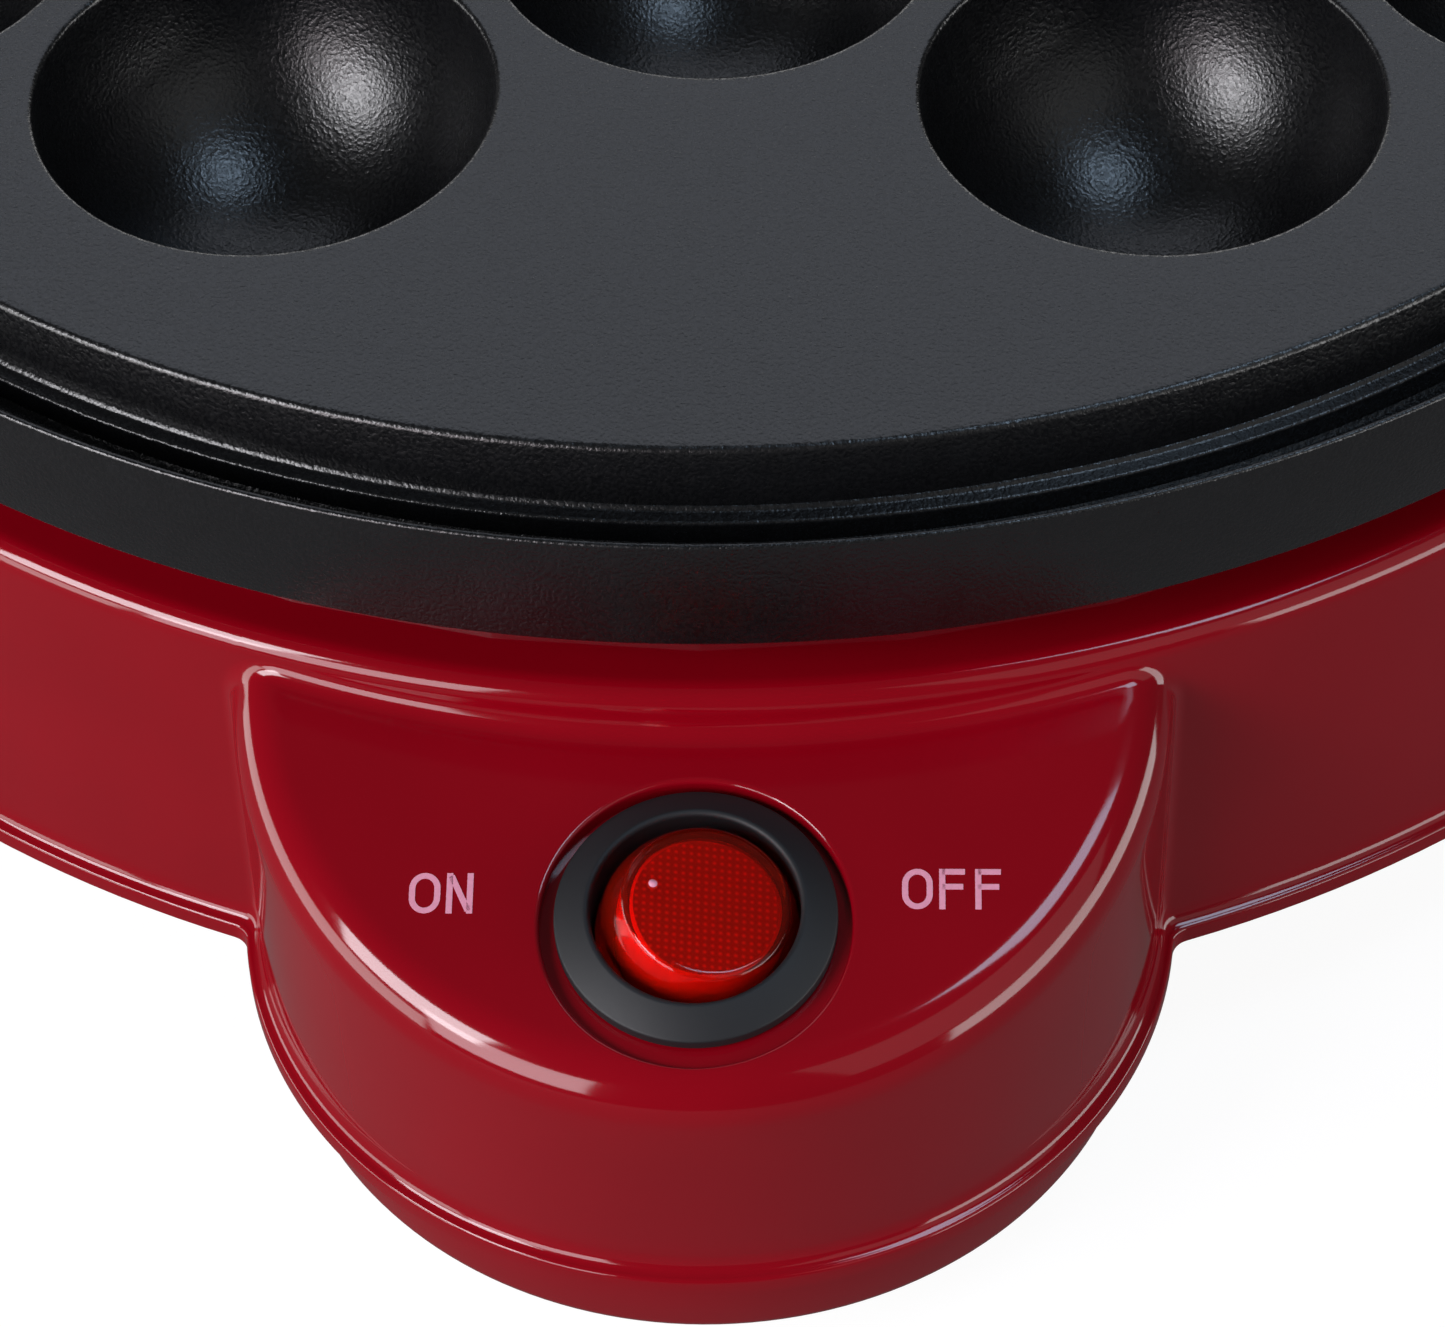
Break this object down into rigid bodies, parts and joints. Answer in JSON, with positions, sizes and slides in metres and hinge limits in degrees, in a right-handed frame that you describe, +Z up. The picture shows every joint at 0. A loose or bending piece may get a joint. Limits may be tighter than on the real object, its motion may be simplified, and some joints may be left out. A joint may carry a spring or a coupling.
{
  "type": "takoyaki maker",
  "caption": "Round electric takoyaki maker: a dark non-stick plate of half-round hollows over a glossy red casing with a front console and a lit rocker switch.",
  "frame": {"origin": "on the surface it stands on, under the middle of the bounding box", "axes": "+Z up, -Y towards the user and the switch console, +X to the user's right"},
  "size_m": [0.2424, 0.2726, 0.073],
  "materials": {
    "plate_coating": "cast aluminium under a charcoal non-stick coating with fine sparkle",
    "casing_red": "deep crimson, high gloss, moulded",
    "aluminised_steel": "aluminised sheet, satin",
    "element_sheath": "heat-darkened tube",
    "bright_steel": "zinc plated",
    "ceramic": "unglazed ceramic",
    "nylon": "natural nylon",
    "black_rubber": "matte black",
    "brass_strip": "bright strip",
    "switch_slate": "dark slate, satin",
    "rocker_lens": "translucent orange red, polished",
    "lamp_glass": "clear glass, neon filled"
  },
  "bodies": {
    "base": {"cooking_plate": "plate_coating", "reflector_pan": "aluminised_steel", "upper_casing": "casing_red", "lower_tray": "casing_red", "heating_element": "element_sheath", "element_insulator_left": "ceramic", "element_insulator_right": "ceramic", "thermostat": "ceramic", "thermostat_bracket": "bright_steel", "thermal_fuse": "bright_steel", "fuse_clip": "bright_steel", "terminal_block": "nylon", "terminal_block_screw": "bright_steel", "cord_gland": "black_rubber", "cord_clamp": "nylon", "cord_clamp_screw_1": "bright_steel", "cord_clamp_screw_2": "bright_steel", "earth_tag": "brass_strip", "switch_housing": "switch_slate", "neon_lamp": "lamp_glass", "plate_spacer_1": "bright_steel", "plate_screw_1": "bright_steel", "casing_screw_1": "bright_steel", "foot_1": "black_rubber", "plate_spacer_2": "bright_steel", "plate_screw_2": "bright_steel", "casing_screw_2": "bright_steel", "foot_2": "black_rubber", "plate_spacer_3": "bright_steel", "plate_screw_3": "bright_steel", "casing_screw_3": "bright_steel", "foot_3": "black_rubber", "plate_spacer_4": "bright_steel", "plate_screw_4": "bright_steel", "casing_screw_4": "bright_steel", "foot_4": "black_rubber", "element_clip_1": "bright_steel", "switch_terminal_1": "brass_strip", "element_clip_2": "bright_steel", "switch_terminal_2": "brass_strip", "element_clip_3": "bright_steel", "switch_terminal_3": "brass_strip"},
    "rocker": {"switch_rocker": "rocker_lens", "rocker_plunger": "bright_steel", "plunger_spring": "bright_steel"},
    "lever": {"contact_lever": "brass_strip"}
  },
  "joints": [
    {"name": "switch_rocker_tilt", "type": "hinge", "parent": "base", "child": "rocker", "pos_m": [0, -0.11934, 0.0411], "axis": [0, -0.9833, -0.1822], "range_deg": [0, 21]},
    {"name": "contact_lever_tilt", "type": "hinge", "parent": "base", "child": "lever", "pos_m": [0, -0.11779, 0.03274], "axis": [0, -0.9833, -0.1822], "range_deg": [-12, 0]}
  ],
  "couplings": [
    {"joint": "contact_lever_tilt", "follows": "switch_rocker_tilt", "ratio": -0.5714}
  ]
}
